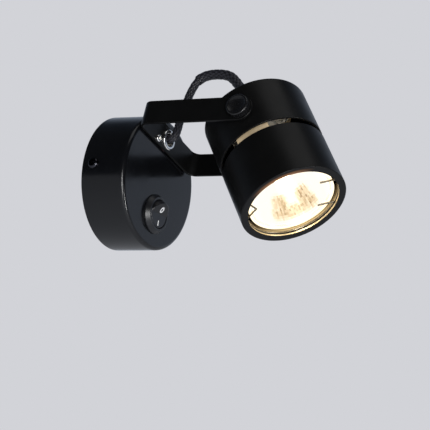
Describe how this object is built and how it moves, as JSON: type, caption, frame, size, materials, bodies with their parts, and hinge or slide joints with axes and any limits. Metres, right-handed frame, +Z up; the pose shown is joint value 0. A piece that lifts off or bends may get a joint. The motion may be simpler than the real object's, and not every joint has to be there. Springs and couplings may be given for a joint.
{
  "type": "wall spotlight",
  "caption": "Black wall spotlight: round base with a rocker switch, swivelling yoke, tilting cylindrical head with a twist-lock reflector lamp, and a braided flex looped behind it.",
  "frame": {"origin": "centre of the base on the wall", "axes": "+Y into the wall, so -Y points out into the room; +Z up; +X to the right as one faces the wall"},
  "size_m": [0.0846, 0.1488, 0.1146],
  "materials": {
    "black_enamel": "gloss",
    "black_screw": "gloss",
    "zinc_steel": "satin",
    "spring_steel": "satin",
    "bright_chrome": "polished",
    "clamp_brass": "satin",
    "white_plastic": "satin",
    "black_plastic": "satin",
    "black_rubber": "matte",
    "red_fibre": "matte",
    "white_ceramic": "matte",
    "reflector_glass": "faceted",
    "front_glass": "clear",
    "capsule_glass": "clear",
    "black_sleeve": "braided",
    "brown_lead": "satin",
    "blue_lead": "satin",
    "earth_lead": "satin",
    "white_lead": "satin"
  },
  "bodies": {
    "base": {"base_cover": "black_enamel", "wall_bracket": "zinc_steel", "cover_screws": "black_screw", "earth_screw": "zinc_steel", "terminal_block": "white_plastic", "block_screws": "zinc_steel", "terminal_clamps": "clamp_brass", "terminal_screws": "zinc_steel", "switch_housing": "black_plastic", "switch_tabs": "zinc_steel", "lead_neutral": "blue_lead", "lead_switched": "brown_lead", "lead_live": "brown_lead", "lead_earth": "earth_lead"},
    "rocker": {"switch_rocker": "black_plastic"},
    "yoke_arm": {"yoke": "black_enamel", "hub_bolt": "bright_chrome", "hub_nut": "zinc_steel", "fibre_washer": "red_fibre", "spring_washer": "zinc_steel", "stop_washer": "zinc_steel", "yoke_earth_screw": "bright_chrome", "flex_lower": "black_sleeve", "flex_upper": "black_sleeve"},
    "head": {"rear_can": "black_enamel", "cable_bush": "black_rubber", "front_ring": "black_enamel", "lamp_frame": "zinc_steel", "pivot_nuts": "zinc_steel", "pivot_saddles": "black_plastic", "lampholder": "white_ceramic", "holder_screws": "zinc_steel", "holder_leads": "white_lead", "retaining_clip": "spring_steel"},
    "near_thumb_screw": {"near_knob": "black_plastic", "near_stud": "zinc_steel"},
    "far_thumb_screw": {"far_knob": "black_plastic", "far_stud": "zinc_steel"},
    "lamp": {"lamp_reflector": "reflector_glass", "lamp_glass": "front_glass", "lamp_base": "white_ceramic", "lamp_capsule": "capsule_glass", "lamp_pins": "zinc_steel"}
  },
  "joints": [
    {"name": "yoke_swivel", "type": "hinge", "parent": "base", "child": "yoke_arm", "pos_m": [0, -0.0284, 0.027], "axis": [0, -1, 0], "range_deg": [-154.6, 175.4]},
    {"name": "head_tilt", "type": "hinge", "parent": "yoke_arm", "child": "head", "pos_m": [0, -0.0944, 0.027], "axis": [0.9836, 0, -0.1805], "range_deg": [-57, 33], "deforming": ["flex_lower", "flex_upper"]},
    {"name": "near_knob_turn", "type": "hinge", "parent": "head", "child": "near_thumb_screw", "pos_m": [0, -0.0944, 0.027], "axis": [-0.9836, 0, 0.1805], "range_deg": [0, 360]},
    {"name": "far_knob_turn", "type": "hinge", "parent": "head", "child": "far_thumb_screw", "pos_m": [0, -0.0944, 0.027], "axis": [0.9836, 0, -0.1805], "range_deg": [0, 360]},
    {"name": "lamp_twist", "type": "hinge", "parent": "head", "child": "lamp", "pos_m": [0, -0.0944, 0.027], "axis": [-0.1514, -0.5446, -0.8249], "range_deg": [0, 20]},
    {"name": "switch_rock", "type": "hinge", "parent": "base", "child": "rocker", "pos_m": [0, -0.0298, -0.019], "axis": [-1, 0, 0], "range_deg": [0, 32]}
  ]
}
